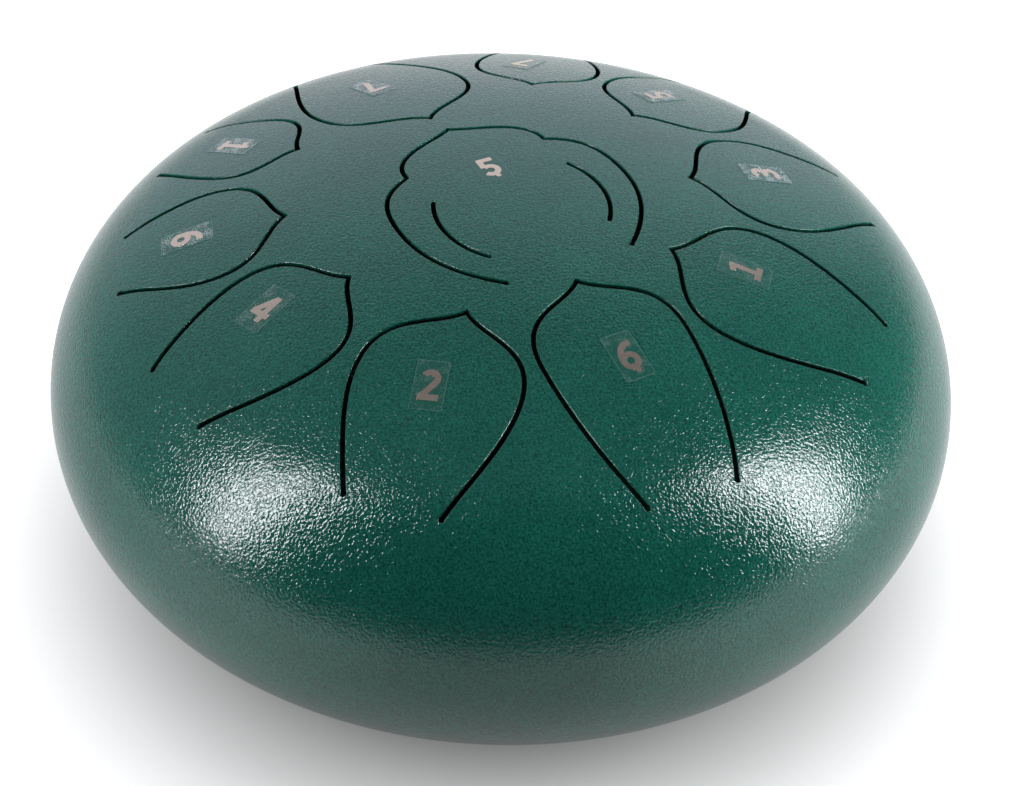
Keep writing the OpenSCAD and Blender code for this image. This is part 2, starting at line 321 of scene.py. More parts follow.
def centre_side():
    # The left side of the centre slot: the tip's lobe, the notch, the round cheek and the end
    w = centre_half_w
    handle = 0.31 * w
    lobe = [(0, 0), (0.13 * w, 0.14 * w), (0.15 * w, 0.65 * w), (0.51 * w, 0.63 * w)]
    cheek = [(0.51 * w, 0.63 * w), (0.61 * w, 0.89 * w), (0.76 * w, w), (1.15 * w, w)]
    end = [
        (1.15 * w, w),
        (1.54 * w, w),
        (centre_length - handle * cos(centre_root_angle),
         centre_root_w / 2 + handle * sin(centre_root_angle)),
        (centre_length, centre_root_w / 2),
    ]
    return bezier(lobe, 30) + bezier(cheek, 30)[1:] + bezier(end, 32)[1:]


def left_of(path, k):
    # The sideways direction at a point of the path
    along = (path[min(k + 1, len(path) - 1)] - path[max(k - 1, 0)]).normalized()
    return Vector((-along.y, along.x))


def beside(path, d):
    # The path moved sideways by d, without the points that a tight bend or the tip would fold over
    fold_gap = 0.02
    middle_gap = 0.35
    moved = []
    for k, point in enumerate(path):
        place = point + d * left_of(path, k)
        clear = min((place - other).length for other in path) > abs(d) - fold_gap
        if clear and place.y > middle_gap:
            moved.append(place)
    return moved


def arc(centre, r, first, last, steps):
    angles = [first + (last - first) * k / steps for k in range(steps + 1)]
    return [centre + r * Vector((cos(a), sin(a))) for a in angles]


def mirrored(path):
    return [Vector((p.x, -p.y)) for p in reversed(path)]


def slot_and_tongue(side, tip, root, length, width):
    # The closed outline of the slot and of the tongue that it leaves, tip at the origin, root along +X
    end = Vector((length, width / 2))
    reach = acos(slot_w / 2 / slot_end_r)
    across = pi / 2 - root
    outer = [p for p in beside(side, slot_w / 2) if (p - end).length > slot_end_r]
    inner = [p for p in beside(side, -slot_w / 2) if (p - end).length > slot_end_r]
    round_the_root = arc(end, slot_end_r, across + reach, -pi / 2, 9)
    back_inside = arc(end, slot_end_r, -pi / 2, across - pi - reach, 4)
    outer_tip = Vector((-slot_w / 2 / sin(tip), 0))
    inner_tip = Vector((slot_w / 2 / sin(tip), 0))
    left = outer + round_the_root + back_inside[1:] + inner[::-1]
    slot = [outer_tip] + left + [inner_tip] + mirrored(left)
    tongue = [inner_tip] + inner + back_inside[::-1]
    corner = tongue[-1]
    across_root = [Vector((corner.x, corner.y * (1 - k / root_steps))) for k in range(1, 2 * root_steps)]
    return slot, tongue + across_root + mirrored(tongue[1:])


def inner_slot(side):
    # One of the two curved slots inside the centre tongue
    first, last = (radians(a) for a in inner_slot_angles)
    centre = Vector((1.27 * centre_half_w, 0))
    r = 0.7 * centre_half_w
    ends = [centre + r * Vector((cos(a), sin(a))) for a in (first, last)]
    outline = arc(centre, r + slot_w / 2, first, last, 34)
    outline += arc(ends[1], slot_w / 2, last, last + pi, 7)[1:-1]
    outline += arc(centre, r - slot_w / 2, last, first, 34)
    outline += arc(ends[0], slot_w / 2, first + pi, first + 2 * pi, 7)[1:-1]
    return [Vector((p.x, side * p.y)) for p in outline]


def placed(path, azimuth, root, turn, length):
    # The tip is at the origin of the path and its root at the length along X
    at_root = [Vector((p.x - length, p.y)) for p in path]
    turned = [Matrix.Rotation(radians(turn), 2) @ p for p in at_root]
    return [Matrix.Rotation(radians(azimuth), 2) @ (p + Vector((root, 0))) for p in turned]


leaves = {}
slots = []
for note, (azimuth, turn, length_share, width_share) in outer_tongues.items():
    length = (root_r - tip_r) * length_share
    half_w = width_share * (root_r - length / 2) * sin(pi / len(outer_tongues))
    slot, tongue = slot_and_tongue(petal_side(length, half_w), tip_angle, root_angle, length, root_w)
    slots.append(placed(slot, azimuth, root_r, turn, length))
    leaves[note] = {"outline": placed(tongue, azimuth, root_r, turn, length), "azimuth": azimuth,
                    "turn": turn, "root": root_r, "length": length, "half_w": half_w}
centre_root = centre_length - 1.05 * centre_half_w
slot, tongue = slot_and_tongue(centre_side(), centre_tip_angle, centre_root_angle, centre_length,
                               centre_root_w)
slots.append(placed(slot, centre_azimuth, centre_root, 0, centre_length))
leaves["low_5"] = {"outline": placed(tongue, centre_azimuth, centre_root, 0, centre_length),
                   "azimuth": centre_azimuth, "turn": 0, "root": centre_root, "length": centre_length,
                   "half_w": centre_half_w}
slots += [placed(inner_slot(side), centre_azimuth, centre_root, 0, centre_length) for side in (1, -1)]

# The flat blank: its outlines, and a net of points between them for the press to bend
def anticlockwise(outline):
    area = sum(a.x * b.y - b.x * a.y for a, b in zip(outline, outline[1:] + outline[:1]))
    return outline if area > 0 else outline[::-1]


outlines = [arc(Vector((0, 0)), press_r, 0, 2 * pi, rim_steps)[:-1]] + slots
outlines += [leaf["outline"] for leaf in leaves.values()]
points = []
loops = []
known = {}
for outline in outlines:
    loop = []
    for p in anticlockwise(outline):
        key = (round(p.x, 3), round(p.y, 3))
        if key not in known:
            known[key] = len(points)
            points.append(Vector(key))
        loop.append(known[key])
    loops.append(loop)
edge_points = kdtree.KDTree(len(points))
for k, p in enumerate(points):
    edge_points.insert(p.to_3d(), k)
edge_points.balance()
net_step = 2.4
net_clear = 1.3
rows = int(press_r / (net_step * sin(pi / 3))) + 1
for row in range(-rows, rows + 1):
    for column in range(-rows, rows + 1):
        p = Vector(((column + 0.5 * (row % 2)) * net_step, row * net_step * sin(pi / 3)))
        if p.length < press_r - net_clear and edge_points.find(p.to_3d())[2] > net_clear:
            points.append(p)
corners, _, faces, _, _, inside = geometry.delaunay_2d_cdt(points, [], loops, 0, 1e-4)
tags = []
kept = []
for face, within in zip(faces, inside):
    if any(1 <= k <= len(slots) for k in within):
        continue
    on_leaf = [k - len(slots) for k in within if k > len(slots)]
    kept.append(face)
    tags.append(on_leaf[0] if on_leaf else 0)

blank = bpy.data.meshes.new("crown_sheet")
blank.from_pydata([(p.x * MM, p.y * MM, crown_height(p.length) * MM) for p in corners], [], kept)
blank.polygons.foreach_set("material_index", tags)
for tag in range(len(leaves) + 1):
    blank.materials.append(None)
crown = bpy.data.objects.new("crown_sheet", blank)
bpy.context.collection.objects.link(crown)


def select_only(piece):
    bpy.ops.object.select_all(action="DESELECT")
    piece.select_set(True)
    bpy.context.view_layer.objects.active = piece


def select_edges(piece, chosen):
    # In edit mode, selects the edges for which chosen is true, and nothing else
    bpy.ops.mesh.select_mode(type="EDGE")
    bpy.ops.mesh.select_all(action="DESELECT")
    net = bmesh.from_edit_mesh(piece.data)
    for edge in net.edges:
        if chosen(edge):
            edge.select_set(True)
    net.select_flush_mode()
    bmesh.update_edit_mesh(piece.data)


def draw_out(piece, rings):
    # Draws the selected ring of edges out through rings of (radius, height)
    for radius, height in rings:
        bpy.ops.mesh.extrude_region_move()
        net = bmesh.from_edit_mesh(piece.data)
        for corner in net.verts:
            if corner.select:
                outward = corner.co.xy.normalized() * radius * MM
                corner.co = (outward.x, outward.y, height * MM)
        bmesh.update_edit_mesh(piece.data)


def apply_modifier(piece, kind, **settings):
    select_only(piece)
    modifier = piece.modifiers.new(kind.lower(), kind)
    for name, value in settings.items():
        setattr(modifier, name, value)
    bpy.ops.object.modifier_apply(modifier=modifier.name)


def arc_rings(centre_x, centre_z, r, first, last, steps):
    # Rings of (radius, height) along a meridian's arc, with angles from the horizontal in degrees
    angles = [radians(first + (last - first) * k / steps) for k in range(1, steps + 1)]
    return [(centre_x + r * cos(a), centre_z + r * sin(a)) for a in angles]


# The blank's rim is drawn down over the shoulder to the weld, and the sheet gets its wall
press_edge = (press_r - 0.5) * MM
press_angle = degrees(acos((press_r - shoulder_x) / shoulder_r))
weld_angle = degrees(asin(weld_half / shoulder_r))
select_only(crown)
bpy.ops.object.mode_set(mode="EDIT")
select_edges(crown, lambda e: e.is_boundary and min(v.co.xy.length for v in e.verts) > press_edge)
draw_out(crown, arc_rings(shoulder_x, seam_z, shoulder_r, press_angle, weld_angle, 26))
bpy.ops.object.mode_set(mode="OBJECT")
outer_corners = len(crown.data.vertices)
apply_modifier(crown, "SOLIDIFY", thickness=sheet_t * MM, offset=-1, use_even_offset=True)


def round_lips(piece, chosen):
    # Rounds the sharp edges, among the chosen ones, of holes in the sheet
    select_edges(piece, lambda e: len(e.link_faces) == 2 and e.calc_face_angle() > radians(60)
                 and chosen(e))
    bpy.ops.mesh.bevel(offset=lip_r * MM, offset_type="OFFSET", segments=3, affect="EDGES",
                       clamp_overlap=False)


# The slots' lips are rounded on the outside, and the tongues are parted from the shell
bpy.ops.object.mode_set(mode="EDIT")
round_lips(crown, lambda e: max(v.index for v in e.verts) < outer_corners
           and e.verts[0].co.xy.length < press_r * MM)
bpy.ops.mesh.select_mode(type="FACE")
for tag, note in enumerate(leaves, 1):
    bpy.ops.mesh.select_all(action="DESELECT")
    net = bmesh.from_edit_mesh(crown.data)
    for face in net.faces:
        face.select_set(face.material_index == tag)
    bmesh.update_edit_mesh(crown.data)
    others = set(bpy.data.objects)
    bpy.ops.mesh.separate(type="SELECTED")
    leaf_piece = (set(bpy.data.objects) - others).pop()
    leaf_piece.name = f"leaf_{note}"
    leaves[note]["piece"] = leaf_piece
bpy.ops.object.mode_set(mode="OBJECT")


def off_crown(co):
    # How far a point in metres lies outside the pressed form, in millimetres
    r = co.xy.length / MM
    z = co.z / MM
    if r < crown_join_r:
        return hypot(r, z - crown_z) - crown_r
    return hypot(r - shoulder_x, z - seam_z) - shoulder_r


smooth_angle = radians(40)


def smooth_skin(piece, off_skin, normal_at, near=0.02):
    # Shades the piece smoothly, with the exact normal of the pressed form where it lies on its skin
    select_only(piece)
    bpy.ops.object.shade_smooth_by_angle(angle=smooth_angle)
    normals = []
    for corner in piece.data.vertices:
        on_skin = abs(off_skin(corner.co)) < near
        normals.append(normal_at(corner.co.x / MM, corner.co.y / MM) if on_skin else Vector((0, 0, 0)))
    piece.data.normals_split_custom_set_from_vertices(normals)


# The walls left open at the roots, where the tongues were parted, are closed
for piece in [crown] + [leaf["piece"] for leaf in leaves.values()]:
    piece.data.materials.clear()
    select_only(piece)
    bpy.ops.object.mode_set(mode="EDIT")
    select_edges(piece, lambda e: e.is_boundary)
    bpy.ops.mesh.fill_holes(sides=0)
    bpy.ops.object.mode_set(mode="OBJECT")
    smooth_skin(piece, off_crown, crown_normal)

# Powder coat. Green gloss enamel baked to an orange peel, whose swells and creases break the light
# into flecks. Its colour is specked darker and lighter: painted shade and light standing in for the
# shading of the peel's creases and swells. Its tone and gloss are also slightly uneven.
peel = bpy.data.node_groups.new("orange_peel", "ShaderNodeTree")
peel.interface.new_socket("Place", in_out="INPUT", socket_type="NodeSocketVector")
peel.interface.new_socket("Fineness", in_out="INPUT", socket_type="NodeSocketFloat")
peel.interface.new_socket("Height", in_out="OUTPUT", socket_type="NodeSocketFloat")
peel.interface.new_socket("Painted peel shade", in_out="OUTPUT", socket_type="NodeSocketFloat")
peel.interface.new_socket("Mottle", in_out="OUTPUT", socket_type="NodeSocketFloat")
group_in = add_node(peel, "NodeGroupInput")
cells = add_node(peel, "ShaderNodeVectorMath", {
    0: group_in.outputs["Place"], "Scale": group_in.outputs["Fineness"]}, operation="SCALE")
swell = add_node(peel, "ShaderNodeTexNoise", {
    "Vector": cells.outputs[0], "Scale": 1.0, "Detail": 1.0, "Roughness": 0.35, "Distortion": 0.3})
rise = add_node(peel, "ShaderNodeMapRange", {
    "Value": swell.outputs[0], "From Min": 0.3, "From Max": 0.6})
height = add_node(peel, "ShaderNodeMath", {
    0: rise.outputs[0], 1: 0.35, 2: swell.outputs[0]}, operation="MULTIPLY_ADD")
# Specks of painted shade and light for the coat's colour, standing in for the shading of the peel
specks = add_node(peel, "ShaderNodeTexNoise", {
    "Vector": cells.outputs[0], "Scale": 1.25, "Detail": 1.0, "Distortion": 0.2})
painted_peel_shade = add_node(peel, "ShaderNodeMapRange", {
    "Value": specks.outputs[0], "From Min": 0.3, "From Max": 0.65})
mottle = add_node(peel, "ShaderNodeTexNoise", {
    "Vector": group_in.outputs["Place"], "Scale": 38.0, "Detail": 3.0})
add_node(peel, "NodeGroupOutput", {
    "Height": height.outputs[0], "Painted peel shade": painted_peel_shade.outputs[0], "Mottle": mottle.outputs[0]})

peel_size = 0.86
peel_depth = 0.103
powder_coat, tree = new_material("green_powder_coat")
place = add_node(tree, "ShaderNodeTexCoord")
grain = add_node(tree, "ShaderNodeGroup", {
    "Place": place.outputs["Object"], "Fineness": 1 / (peel_size * MM)}, node_tree=peel)
# The coat's green, made darker and lighter by the painted shade and light of the peel
tone = add_node(tree, "ShaderNodeMix", {
    "Factor": grain.outputs["Painted peel shade"], "A": (0.003, 0.056, 0.04, 1), "B": (0.011, 0.12, 0.085, 1)},
    data_type="RGBA")
uneven = add_node(tree, "ShaderNodeMapRange", {
    "Value": grain.outputs["Mottle"], "From Min": 0.3, "From Max": 0.7, "To Min": 0.92, "To Max": 1.08})
shade = add_node(tree, "ShaderNodeVectorMath", {
    0: tone.outputs["Result"], 1: uneven.outputs[0]}, operation="MULTIPLY")
dull = add_node(tree, "ShaderNodeMapRange", {
    "Value": grain.outputs["Mottle"], "To Min": 0.06, "To Max": 0.1})
relief = add_node(tree, "ShaderNodeBump", {
    "Height": grain.outputs["Height"], "Strength": 1.0, "Distance": peel_depth * MM})
coat = add_node(tree, "ShaderNodeBsdfPrincipled", {
    "Base Color": shade.outputs[0], "Roughness": dull.outputs[0], "Normal": relief.outputs[0]})
add_node(tree, "ShaderNodeOutputMaterial", {"Surface": coat.outputs[0]})

crown.data.materials.append(powder_coat)
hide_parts("top_shell")
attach(crown, "shell")
# Each tongue takes the coat in place of its CAD tongue, with its placing baked into its corners
for note, leaf in leaves.items():
    piece = leaf["piece"]
    piece.data.materials.append(powder_coat)
    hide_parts(f"tongue_{note}")
    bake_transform(piece)

# Bottom shell. The second pressing of the same sheet, shallower, with a round sound port in the
# middle and four holes for the foot screws, powder coated with the top.
base_drop = 62
base_shoulder_r = 48
stand_h = 6
port_r = 35
foot_r = 80
foot_hole_r = 2.3
base_shoulder_x = body_r - base_shoulder_r
base_r = ((base_shoulder_x ** 2 + base_drop ** 2 - base_shoulder_r ** 2)
          / (2 * (base_drop - base_shoulder_r)))
base_z = stand_h + base_r
base_angle = degrees(atan2(base_shoulder_x, base_z - seam_z))
base_join_r = base_r * sin(radians(base_angle))
foot_tilt = asin(foot_r / base_r)
foot_azimuths = [-45, 45, 135, 225]


def off_base(co):
    r = co.xy.length / MM
    z = co.z / MM
    if r < base_join_r:
        return hypot(r, z - base_z) - base_r
    return hypot(r - base_shoulder_x, z - seam_z) - base_shoulder_r


def base_normal(x, y):
    r = max(hypot(x, y), 1e-6)
    if r < base_join_r:
        return Vector((x, y, -sqrt(base_r ** 2 - r ** 2))).normalized()
    outward = (r - base_shoulder_x) / r
    down = sqrt(max(base_shoulder_r ** 2 - (r - base_shoulder_x) ** 2, 0))
    return Vector((x * outward, y * outward, -down)).normalized()


# The sheet is drawn out from the port's edge to the weld, and gets its wall
port_angle = degrees(asin(port_r / base_r))
port_edge_z = base_z - base_r * cos(radians(port_angle))
base_weld_angle = asin(weld_half / base_shoulder_r)
bpy.ops.object.select_all(action="DESELECT")
bpy.ops.mesh.primitive_circle_add(vertices=rim_steps, radius=port_r * MM,
                                  location=(0, 0, port_edge_z * MM))
base = bpy.context.object
base.name = "base_sheet"
bpy.ops.object.transform_apply()
bpy.ops.object.mode_set(mode="EDIT")
select_edges(base, lambda e: True)
draw_out(base, arc_rings(0, base_z, base_r, port_angle - 90, base_angle - 90, 24))
draw_out(base, arc_rings(base_shoulder_x, seam_z, base_shoulder_r, base_angle - 90,
                         -degrees(base_weld_angle), 36))
bpy.ops.mesh.select_all(action="SELECT")
bpy.ops.mesh.normals_make_consistent(inside=False)
net = bmesh.from_edit_mesh(base.data)
net.faces.ensure_lookup_table()
if net.faces[0].normal.z > 0:
    bpy.ops.mesh.flip_normals()
bpy.ops.object.mode_set(mode="OBJECT")
apply_modifier(base, "SOLIDIFY", thickness=sheet_t * MM, offset=-1, use_even_offset=True)

# The screw holes are drilled square to the slope, and the port's lip is rounded
drill_l = 20
drills = []
for azimuth in foot_azimuths:
    outward = Vector((cos(radians(azimuth)), sin(radians(azimuth)))) * foot_r
    bpy.ops.mesh.primitive_cylinder_add(
        vertices=48, radius=foot_hole_r * MM, depth=drill_l * MM,
        location=Vector((outward.x, outward.y, base_z - base_r * cos(foot_tilt))) * MM,
        rotation=(0, -foot_tilt, radians(azimuth)))
    drills.append(bpy.context.object)
select_only(drills[0])
for drill in drills:
    drill.select_set(True)
bpy.ops.object.join()
apply_modifier(base, "BOOLEAN", object=drills[0], operation="DIFFERENCE", solver="EXACT")
bpy.data.objects.remove(drills[0])
bpy.ops.object.mode_set(mode="EDIT")
round_lips(base, lambda e: e.verts[0].co.xy.length < (port_r + 2) * MM)
bpy.ops.object.mode_set(mode="OBJECT")
smooth_skin(base, off_base, base_normal)
base.data.materials.append(powder_coat)
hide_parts("bottom_shell")
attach(base, "shell")

# Rim weld. The bead of weld metal that joins the shells, ground flush with them and coated over,
# which fills the groove that their chamfered edges leave.
weld_depth = 1.05
weld_top = (shoulder_x + shoulder_r * cos(radians(weld_angle)), seam_z + weld_half)
weld_bottom = (base_shoulder_x + base_shoulder_r * cos(base_weld_angle), seam_z - weld_half)
bpy.ops.object.select_all(action="DESELECT")
bpy.ops.mesh.primitive_circle_add(vertices=rim_steps, radius=(body_r - weld_depth) * MM,
                                  location=(0, 0, seam_z * MM))
weld = bpy.context.object
weld.name = "rim_bead"
bpy.ops.object.transform_apply()
bpy.ops.object.mode_set(mode="EDIT")
select_edges(weld, lambda e: True)
draw_out(weld, [weld_top, (body_r, seam_z), weld_bottom, (body_r - weld_depth, seam_z)])
bpy.ops.mesh.select_all(action="SELECT")
bpy.ops.mesh.remove_doubles(threshold=0.001 * MM)
bpy.ops.mesh.normals_make_consistent(inside=False)
bpy.ops.object.mode_set(mode="OBJECT")
smooth_skin(weld, lambda co: co.xy.length / MM - body_r,
            lambda x, y: Vector((x, y, 0)).normalized(), near=0.05)
weld.data.materials.append(powder_coat)
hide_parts("rim_weld")
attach(weld, "shell")

# Number labels. A small rectangle of clear film is stuck on each tongue and bridges the orange peel,
# so that air shows under it as grey flecks. A figure of rose foil lies on it, with a dot below or
# above for the lower or the higher octave.
label_w = 10
label_l = 17
film_corner = 0.45
film_lift = 0.03
film_t = 0.06
figure_lift = 0.11
figure_t = 0.04
figure_h = 10.6
figure_stroke = 0.195
dot_r = 0.9
# The place along the tongue from its tip and aside, in shares of the tongue's length and half width,
# the turn in degrees, and how much of the air under the film shows
label_places = {
    "2": (0.43, -0.07, 9, 0.6), "low_6": (0.41, 0.06, 3, 0.5), "1": (0.34, 0.17, 5, 0.3),
    "3": (0.48, 0.2, 1, 0.9), "5": (0.48, 0.24, -15, 1), "7": (0.57, 0.23, -20, 0.5),
    "low_7": (0.55, 0.03, 4, 1), "high_1": (0.56, -0.05, -8, 1), "6": (0.6, -0.05, 5, 0.9),
    "4": (0.42, -0.3, 13, 0.6), "low_5": (0.72 * centre_half_w / centre_length, 0, -2, 0.04),
}

bubble_size = 0.36
patch_size = 4
film, tree = new_material("clear_label_film")
along_film = add_node(tree, "ShaderNodeUVMap")
where = add_node(tree, "ShaderNodeSeparateXYZ", {0: along_film.outputs[0]})
place = add_node(tree, "ShaderNodeTexCoord")
bubbles = add_node(tree, "ShaderNodeTexNoise", {
    "Vector": place.outputs["Object"], "Scale": 1 / (bubble_size * MM), "Detail": 1.0})
patches = add_node(tree, "ShaderNodeTexNoise", {
    "Vector": place.outputs["Object"], "Scale": 1 / (patch_size * MM), "Detail": 1.0})
airy = add_node(tree, "ShaderNodeMath", {
    0: patches.outputs[0], 1: 0.5, 2: bubbles.outputs[0]}, operation="MULTIPLY_ADD")
spots = add_node(tree, "ShaderNodeMapRange", {
    "Value": airy.outputs[0], "From Min": 0.76, "From Max": 0.88})
air = add_node(tree, "ShaderNodeAttribute", attribute_name="air")
flecks = add_node(tree, "ShaderNodeMath", {
    0: spots.outputs[0], 1: air.outputs["Fac"]}, operation="MULTIPLY")


def from_edge(socket, length):
    # Millimetres from the nearer end of one side of the film
    centred = add_node(tree, "ShaderNodeMath", {0: socket, 1: 0.5}, operation="SUBTRACT")
    away = add_node(tree, "ShaderNodeMath", {0: centred.outputs[0]}, operation="ABSOLUTE")
    return add_node(tree, "ShaderNodeMapRange", {
        "Value": away.outputs[0], "From Min": 0.5, "From Max": 0.0, "To Min": 0.0,
        "To Max": length / 2}).outputs[0]


edge_distance = add_node(tree, "ShaderNodeMath", {
    0: from_edge(where.outputs["X"], label_l), 1: from_edge(where.outputs["Y"], label_w)},
    operation="MINIMUM")
# A thin light line along the film's edge: a painted highlight where the edge catches the light
painted_edge_glint = add_node(tree, "ShaderNodeMapRange", {
    "Value": edge_distance.outputs[0], "From Min": 0.1, "From Max": 0.26, "To Min": 0.8, "To Max": 0.0})
# The air under the film is grey from above, and at a slant it is painted white, a painted reflection
# of the light that the air pockets throw back
slant = add_node(tree, "ShaderNodeLayerWeight")
slant_painted_glare = add_node(tree, "ShaderNodeMapRange", {
    "Value": slant.outputs["Facing"], "From Min": 0.15, "From Max": 0.6})
air_tone_with_painted_glare = add_node(tree, "ShaderNodeMix", {
    "Factor": slant_painted_glare.outputs[0], "A": (0.04, 0.115, 0.095, 1), "B": (0.4, 0.46, 0.46, 1)},
    data_type="RGBA")
fleck_tone = add_node(tree, "ShaderNodeMix", {
    "Factor": flecks.outputs[0], "A": (0.008, 0.088, 0.064, 1), "B": air_tone_with_painted_glare.outputs["Result"]},
    data_type="RGBA")
tone_with_painted_edge_glint = add_node(tree, "ShaderNodeMix", {
    "Factor": painted_edge_glint.outputs[0], "A": fleck_tone.outputs["Result"], "B": (0.08, 0.2, 0.16, 1)},
    data_type="RGBA")
film_dull = add_node(tree, "ShaderNodeMapRange", {
    "Value": flecks.outputs[0], "To Min": 0.16, "To Max": 0.4})
ripple = add_node(tree, "ShaderNodeBump", {"Height": bubbles.outputs[0], "Distance": 0.04 * MM})
film_shader = add_node(tree, "ShaderNodeBsdfPrincipled", {
    "Base Color": tone_with_painted_edge_glint.outputs["Result"], "Roughness": film_dull.outputs[0],
    "Normal": ripple.outputs[0]})
add_node(tree, "ShaderNodeOutputMaterial", {"Surface": film_shader.outputs[0]})

foil, tree = new_material("rose_foil")
place = add_node(tree, "ShaderNodeTexCoord")
brushing = add_node(tree, "ShaderNodeTexNoise", {
    "Vector": place.outputs["Object"], "Scale": 500.0, "Detail": 2.0})
foil_tone = add_node(tree, "ShaderNodeMix", {
    "Factor": brushing.outputs[0], "A": (0.57, 0.495, 0.385, 1), "B": (0.665, 0.577, 0.45, 1)},
    data_type="RGBA")
foil_dull = add_node(tree, "ShaderNodeMapRange", {
    "Value": brushing.outputs[0], "To Min": 0.24, "To Max": 0.28})
foil_shader = add_node(tree, "ShaderNodeBsdfPrincipled", {
    "Base Color": foil_tone.outputs["Result"], "Metallic": 0.96, "Roughness": foil_dull.outputs[0]})
add_node(tree, "ShaderNodeOutputMaterial", {"Surface": foil_shader.outputs[0]})


def lay_on_crown(piece, leaf, along, aside, turn, lift):
    # Lays a flat piece, drawn in metres about the origin, on its tongue, that far off the coat
    at_tip = Vector((along * leaf["length"], aside * leaf["half_w"]))
    for corner in piece.data.vertices:
        flat = Matrix.Rotation(radians(turn), 2) @ (corner.co.xy / MM) + at_tip
        p = placed([flat], leaf["azimuth"], leaf["root"], leaf["turn"], leaf["length"])[0]
        on_coat = Vector((p.x, p.y, crown_height(p.length)))
        corner.co = (on_coat + crown_normal(p.x, p.y) * (lift + corner.co.z / MM)) * MM


def line(first, last):
    # A straight pen line between two points, in short steps
    a, b = Vector(first), Vector(last)
    steps = ceil((b - a).length / 0.12)
    return [a] + [a.lerp(b, k / steps) for k in range(1, steps + 1)]


def bow(x, y, r, first, last):
    # A round pen line about a centre, with angles in degrees
    steps = max(6, int(abs(last - first) / 12))
    return arc(Vector((x, y)), r, radians(first), radians(last), steps)


def ribbon(path):
    # The four-cornered pieces of a pen line as wide as the figure's stroke
    aside = [left_of(path, k) * figure_stroke / 2 for k in range(len(path))]
    sides = [(p + across, p - across) for p, across in zip(path, aside)]
    return [[a[0], a[1], b[1], b[0]] for a, b in zip(sides, sides[1:])]


# Pen lines of the figures, in shares of their height, with the foot at 0 and the left side at 0
figure_strokes = {
    "1": [line((0.36, 0), (0.36, 1)), line((0.07, 0.09), (0.65, 0.09)),
          line((0.1, 0.83), (0.36, 0.9))],
    "2": [bow(0.32, 0.7, 0.205, 150, -38), line((0.49, 0.58), (0.12, 0.1)),
          line((0.03, 0.0975), (0.64, 0.0975))],
    "3": [bow(0.29, 0.72, 0.185, 148, -92), line((0.17, 0.52), (0.31, 0.52)),
          bow(0.29, 0.305, 0.21, 88, -148)],
    "4": [line((0.46, 0.97), (0.1, 0.31)), line((0.01, 0.29), (0.68, 0.29)),
          line((0.46, 0), (0.46, 1))],
    "5": [line((0.1, 0.9025), (0.6, 0.9025)), line((0.18, 0.95), (0.16, 0.5)),
          bow(0.31, 0.32, 0.225, 128, -148)],
    "6": [bow(0.34, 0.315, 0.215, 170, 530),
          bezier([(0.125, 0.3), (0.11, 0.66), (0.3, 0.93), (0.6, 0.88)], 12)],
    "7": [line((0.04, 0.9025), (0.63, 0.9025)), line((0.54, 0.87), (0.24, 0))],
}
figure_middle = Vector((0.33, 0.5))
foot_dots = {"5": Vector((0.4, -0.03)), "6": Vector((0.4, -0.03)), "7": Vector((0.3, -0.04))}
head_dot = Vector((0.36, 1.05))

for note, (along, aside, turn, air_shown) in label_places.items():
    leaf = leaves[note]
    bpy.ops.object.select_all(action="DESELECT")
    bpy.ops.mesh.primitive_grid_add(x_subdivisions=label_l, y_subdivisions=label_w, size=MM)
    sticker = bpy.context.object
    sticker.name = f"film_{note}"
    sticker.scale = (label_l, label_w, 1)
    bpy.ops.object.transform_apply()
    bpy.ops.object.mode_set(mode="EDIT")
    bpy.ops.mesh.select_mode(type="VERT")
    bpy.ops.mesh.select_all(action="DESELECT")
    net = bmesh.from_edit_mesh(sticker.data)
    for corner in net.verts:
        corner.select_set(len(corner.link_edges) == 2)
    bmesh.update_edit_mesh(sticker.data)
    bpy.ops.mesh.bevel(offset=film_corner * MM, segments=3, affect="VERTICES")
    bpy.ops.object.mode_set(mode="OBJECT")
    lay_on_crown(sticker, leaf, along, aside, turn, film_lift)
    apply_modifier(sticker, "SOLIDIFY", thickness=film_t * MM, offset=1)
    bpy.ops.object.shade_smooth_by_angle(angle=smooth_angle)
    air_seen = sticker.data.attributes.new("air", "FLOAT", "POINT")
    air_seen.data.foreach_set("value", [air_shown] * len(sticker.data.vertices))
    sticker.data.materials.append(film)
    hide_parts(f"label_{note}")
    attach(sticker, f"note_{note}")

    shapes = [piece for path in figure_strokes[note[-1]] for piece in ribbon(path)]
    if note.startswith(("low", "high")):
        spot = foot_dots[note[-1]] if note.startswith("low") else head_dot
        shapes.append(arc(spot, dot_r / figure_h, 0, 2 * pi, 20)[:-1])
    points = []
    loops = []
    for shape in shapes:
        loops.append([len(points) + k for k in range(len(shape))])
        points += anticlockwise(shape)
    corners, _, faces, _, _, inside = geometry.delaunay_2d_cdt(points, [], loops, 0, 1e-4)
    upright = [(p - figure_middle) * figure_h * MM for p in corners]
    filled = [face for face, within in zip(faces, inside) if within]
    drawn = bpy.data.meshes.new(f"figure_{note}")
    drawn.from_pydata([(-p.y, p.x, 0) for p in upright], [], filled)
    figure = bpy.data.objects.new(f"figure_{note}", drawn)
    bpy.context.collection.objects.link(figure)
    select_only(figure)
    bpy.ops.object.mode_set(mode="EDIT")
    bpy.ops.mesh.select_all(action="SELECT")
    bpy.ops.mesh.delete_loose()
    bpy.ops.mesh.select_all(action="SELECT")
    bpy.ops.mesh.normals_make_consistent(inside=False)
    bpy.ops.object.mode_set(mode="OBJECT")
    if drawn.polygons[0].normal.z < 0:
        drawn.flip_normals()
    lay_on_crown(figure, leaf, along, aside, turn, figure_lift)
    apply_modifier(figure, "SOLIDIFY", thickness=figure_t * MM, offset=1)
    smooth_skin(figure, off_crown, crown_normal, near=1)
    figure.data.materials.append(foil)
    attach(figure, f"note_{note}")

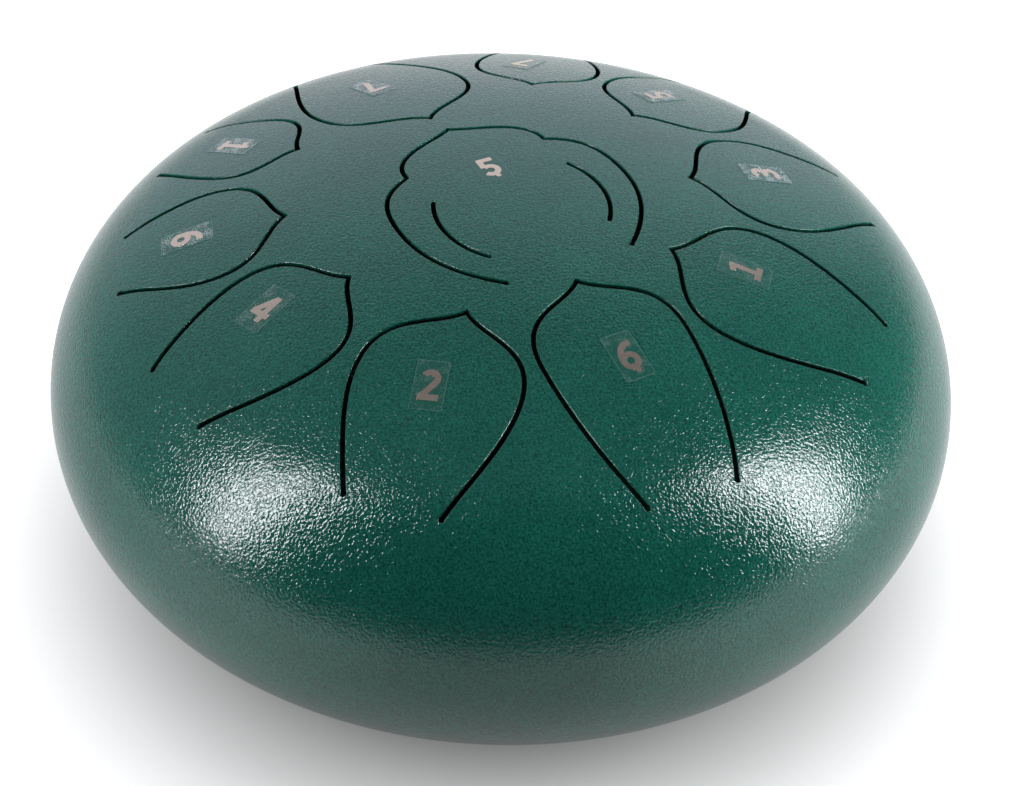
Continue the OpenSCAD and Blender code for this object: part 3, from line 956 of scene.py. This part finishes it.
# Feet. Four black rubber bumpers, moulded to the slope of the base and cut flat at the floor, each
# with a recess for the head of its screw.
rubber, tree = new_material("black_rubber")
place = add_node(tree, "ShaderNodeTexCoord")
skin = add_node(tree, "ShaderNodeTexNoise", {
    "Vector": place.outputs["Object"], "Scale": 900.0, "Detail": 3.0})
dust = add_node(tree, "ShaderNodeTexNoise", {
    "Vector": place.outputs["Object"], "Scale": 60.0, "Detail": 4.0})
rubber_tone = add_node(tree, "ShaderNodeMix", {
    "Factor": dust.outputs[0], "A": (0.012, 0.012, 0.012, 1), "B": (0.03, 0.029, 0.027, 1)},
    data_type="RGBA")
rubber_dull = add_node(tree, "ShaderNodeMapRange", {
    "Value": dust.outputs[0], "To Min": 0.55, "To Max": 0.75})
rubber_relief = add_node(tree, "ShaderNodeBump", {"Height": skin.outputs[0], "Distance": 0.03 * MM})
rubber_shader = add_node(tree, "ShaderNodeBsdfPrincipled", {
    "Base Color": rubber_tone.outputs["Result"], "Roughness": rubber_dull.outputs[0],
    "Normal": rubber_relief.outputs[0]})
add_node(tree, "ShaderNodeOutputMaterial", {"Surface": rubber_shader.outputs[0]})


def softened_copy(node, name, bevel_w, material):
    # A copy of the solid with its facets joined and its sharp edges rounded over
    solid = frame["nodes"][node]
    piece = bpy.data.objects.new(name, solid.data.copy())
    bpy.context.collection.objects.link(piece)
    select_only(piece)
    bpy.ops.object.mode_set(mode="EDIT")
    bpy.ops.mesh.select_all(action="SELECT")
    bpy.ops.mesh.remove_doubles(threshold=0.005 * MM)
    bpy.ops.mesh.dissolve_limited(angle_limit=radians(1))
    bpy.ops.object.mode_set(mode="OBJECT")
    apply_modifier(piece, "BEVEL", width=bevel_w * MM, segments=3, limit_method="ANGLE",
                   angle_limit=smooth_angle, use_clamp_overlap=True)
    bpy.ops.object.shade_smooth_by_angle(angle=smooth_angle)
    piece.data.materials.clear()
    piece.data.materials.append(material)
    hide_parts(node)
    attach(piece, "shell")


for k in range(1, len(foot_azimuths) + 1):
    softened_copy(f"rubber_foot_{k}", f"bumper_{k}", 0.8, rubber)

# Foot screws, washers and nuts. Zinc-plated M4 button-head screws pass up through the feet and the
# base, with a washer under each head and a nut inside the drum.
zinc, tree = new_material("zinc_plate")
place = add_node(tree, "ShaderNodeTexCoord")
spangle = add_node(tree, "ShaderNodeTexNoise", {
    "Vector": place.outputs["Object"], "Scale": 700.0, "Detail": 3.0})
zinc_tone = add_node(tree, "ShaderNodeMix", {
    "Factor": spangle.outputs[0], "A": (0.5, 0.5, 0.49, 1), "B": (0.68, 0.69, 0.71, 1)},
    data_type="RGBA")
zinc_dull = add_node(tree, "ShaderNodeMapRange", {
    "Value": spangle.outputs[0], "To Min": 0.25, "To Max": 0.45})
zinc_shader = add_node(tree, "ShaderNodeBsdfPrincipled", {
    "Base Color": zinc_tone.outputs["Result"], "Metallic": 1.0, "Roughness": zinc_dull.outputs[0]})
add_node(tree, "ShaderNodeOutputMaterial", {"Surface": zinc_shader.outputs[0]})
softened_copy("foot_screws", "button_screws", 0.6, zinc)
softened_copy("foot_washers", "plain_washers", 0.15, zinc)
softened_copy("foot_nuts", "hex_nuts", 0.3, zinc)

bpy.ops.object.select_all(action="DESELECT")
